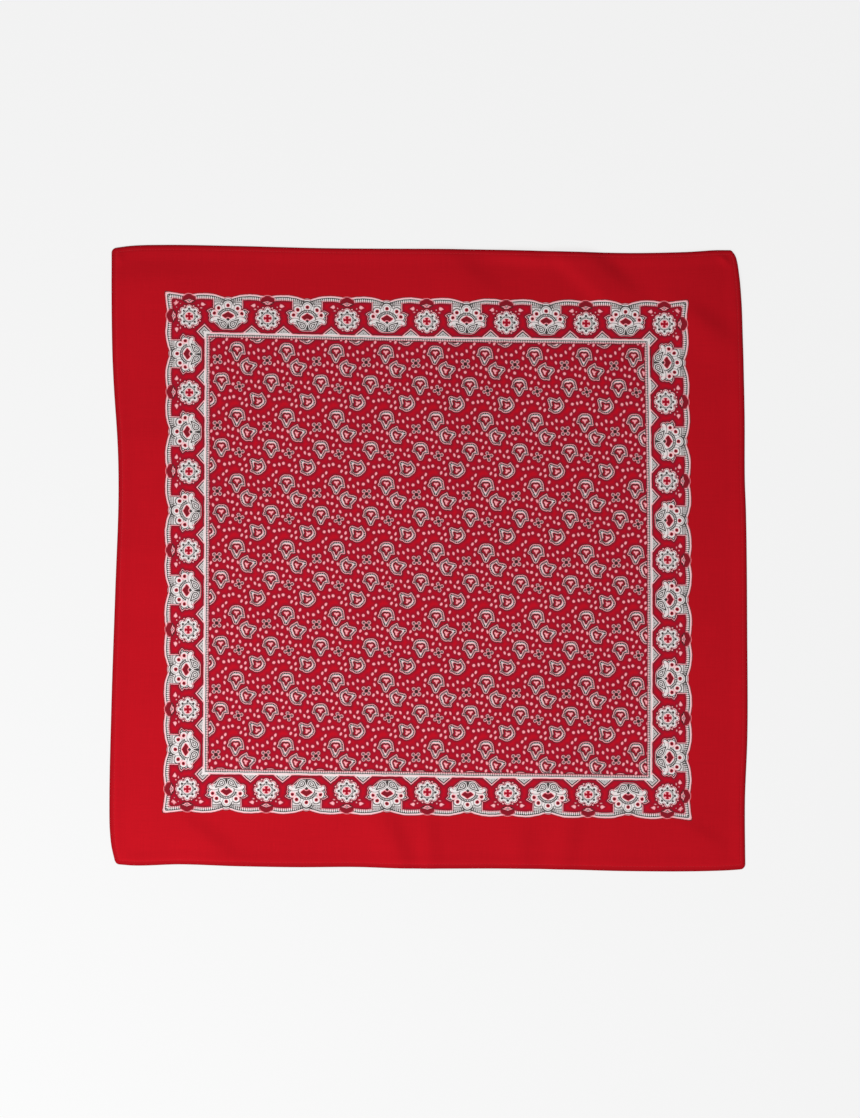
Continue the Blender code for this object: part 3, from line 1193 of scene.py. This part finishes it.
STITCH_PITCH = 0.0026
STITCH_LENGTH = 0.0020
THREAD_RADIUS = 0.00012
THREAD_RED = (0.56, 0.030, 0.040, 1.0)
THREAD_SIDES = 6
PLY_TURN = 9000.0  # how fast the thread's ply turns along it, in radians a metre
NEEDLE_BOW = 1.0  # the needle thread stands up in the middle of each stitch
BOBBIN_BOW = -0.1  # and the bobbin thread bows down a little, between hem and table
# A stitch's thread ring by ring: its place along the stitch, and its height and girth in
# radii of the thread.
STITCH_RINGS = (
    (-0.5, -0.9, 0.5),
    (-0.36, 0.35, 1.0),
    (0.0, 0.8, 1.05),
    (0.36, 0.35, 1.0),
    (0.5, -0.9, 0.5),
)


def add_stitch(maker, x, y, along, face_height, bow):
    """One stitch: a short thread that thins out and goes into the cloth at both ends."""
    rings = []
    for share, height, girth in STITCH_RINGS:
        step = share * STITCH_LENGTH
        plain_x, plain_y = x + along[0] * step, y + along[1] * step
        plan_x, plan_y = plan_place(plain_x, plain_y)
        centre = face_height(plain_x, plain_y) + bow * height * THREAD_RADIUS
        ring = []
        for k in range(THREAD_SIDES):
            angle = math.tau * k / THREAD_SIDES
            sideways = math.cos(angle) * THREAD_RADIUS * girth
            rise = math.sin(angle) * THREAD_RADIUS * girth
            place = (plan_x - along[1] * sideways, plan_y + along[0] * sideways, centre + rise)
            ring.append(maker.verts.new(place))
        rings.append(ring)
    bridge_rings(maker, rings)
    maker.faces.new(rings[0][::-1])
    maker.faces.new(rings[-1])


def under_hem(x, y):
    return fold_lift(x, y) + HEM_CLEARANCE


def make_sewing():
    maker = bmesh.new()
    line_x = HALF_WIDTH - STITCH_LINE
    line_y = HALF_LENGTH - STITCH_LINE
    for face_height, bow in ((top_height, NEEDLE_BOW), (under_hem, BOBBIN_BOW)):
        for x in spaced(-line_x, line_x, STITCH_PITCH):
            for y in (line_y, -line_y):
                add_stitch(maker, x + STITCH_PITCH / 2, y, (1.0, 0.0), face_height, bow)
        for y in spaced(-line_y, line_y, STITCH_PITCH):
            for x in (line_x, -line_x):
                add_stitch(maker, x, y + STITCH_PITCH / 2, (0.0, 1.0), face_height, bow)
    bmesh.ops.recalc_face_normals(maker, faces=maker.faces)
    return piece_from(maker, "hem_stitching")


def spun_thread():
    material, start, shader = dull_cotton("red cotton thread")
    where = start.node("ShaderNodeTexCoord", {}, {}, "Object", Place)
    ply = where.stretched(PLY_TURN, PLY_TURN)
    twist = 0.5 + 0.5 * sine(ply.across + ply.up)
    # Painted shade between the plies: the colour darkens along the twist's grooves.
    shader_link(shader, "Base Color", shaded(THREAD_RED, 0.85 + 0.25 * twist))
    shader_link(shader, "Roughness", 0.75 - 0.1 * twist)
    return material


sewing = make_sewing()
sewing.data.materials.append(spun_thread())
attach(sewing, "root")

# ------------------------------------------------------------
# The studio: a plain pale table top under a soft even sky, one large soft lamp low on the
# left, and the camera straight above.

FLOOR_HALF = 3.0
FLOOR_DROP = 0.0002
FLOOR_GREY = (0.12, 0.12, 0.12, 1.0)
FLOOR_GLOW = 0.79
WHITE = (1.0, 1.0, 1.0, 1.0)
SKY_STRENGTH = 0.42
LAMP_PLACE = (-0.85, -1.00, 1.20)
LAMP_SIZE = 0.9
LAMP_POWER = 28.0
VIEW_WIDTH = 860  # the camera's view, in pixels
VIEW_HEIGHT = 1118
PIXEL = 0.00088  # metres of cloth
CLOTH_PIXEL_X = 427.6  # where the middle of the cloth stands in it
CLOTH_PIXEL_Y = 557.7
CAMERA_HEIGHT = 2.6
SENSOR_HEIGHT = 24.0
CENTRE_X = (VIEW_WIDTH / 2 - CLOTH_PIXEL_X) * PIXEL
CENTRE_Y = (CLOTH_PIXEL_Y - VIEW_HEIGHT / 2) * PIXEL


def make_floor():
    maker = bmesh.new()
    reach = FLOOR_HALF
    corners = ((-reach, -reach), (reach, -reach), (reach, reach), (-reach, reach))
    maker.faces.new([maker.verts.new((x, y, -FLOOR_DROP)) for x, y in corners])
    floor = piece_from(maker, "floor")
    material = bpy.data.materials.new("pale table top")
    values = {"Base Color": FLOOR_GREY, "Roughness": 1.0, "Specular IOR Level": 0.0}
    glow = {"Emission Color": WHITE, "Emission Strength": FLOOR_GLOW}
    node_of(material, "Principled BSDF", values | glow)
    floor.data.materials.append(material)
    return floor


def make_lights():
    world = bpy.data.worlds.new("soft sky")
    node_of(world, "Background", {"Color": WHITE, "Strength": SKY_STRENGTH})
    bpy.context.scene.world = world
    softbox = bpy.data.lights.new("softbox", "AREA")
    softbox.size = LAMP_SIZE
    softbox.energy = LAMP_POWER
    lamp = add_object("softbox", softbox)
    lamp.location = LAMP_PLACE
    lamp.rotation_euler = (-Vector(LAMP_PLACE)).to_track_quat("-Z", "Y").to_euler()


def make_camera():
    lens = bpy.data.cameras.new("camera above")
    lens.sensor_fit = "VERTICAL"
    lens.sensor_height = SENSOR_HEIGHT
    lens.lens = SENSOR_HEIGHT * CAMERA_HEIGHT / (VIEW_HEIGHT * PIXEL)
    camera = add_object("camera above", lens)
    camera.location = (CENTRE_X, CENTRE_Y, CAMERA_HEIGHT)
    bpy.context.scene.camera = camera


make_floor()
make_lights()
make_camera()
bpy.context.scene.view_settings.view_transform = "Standard"
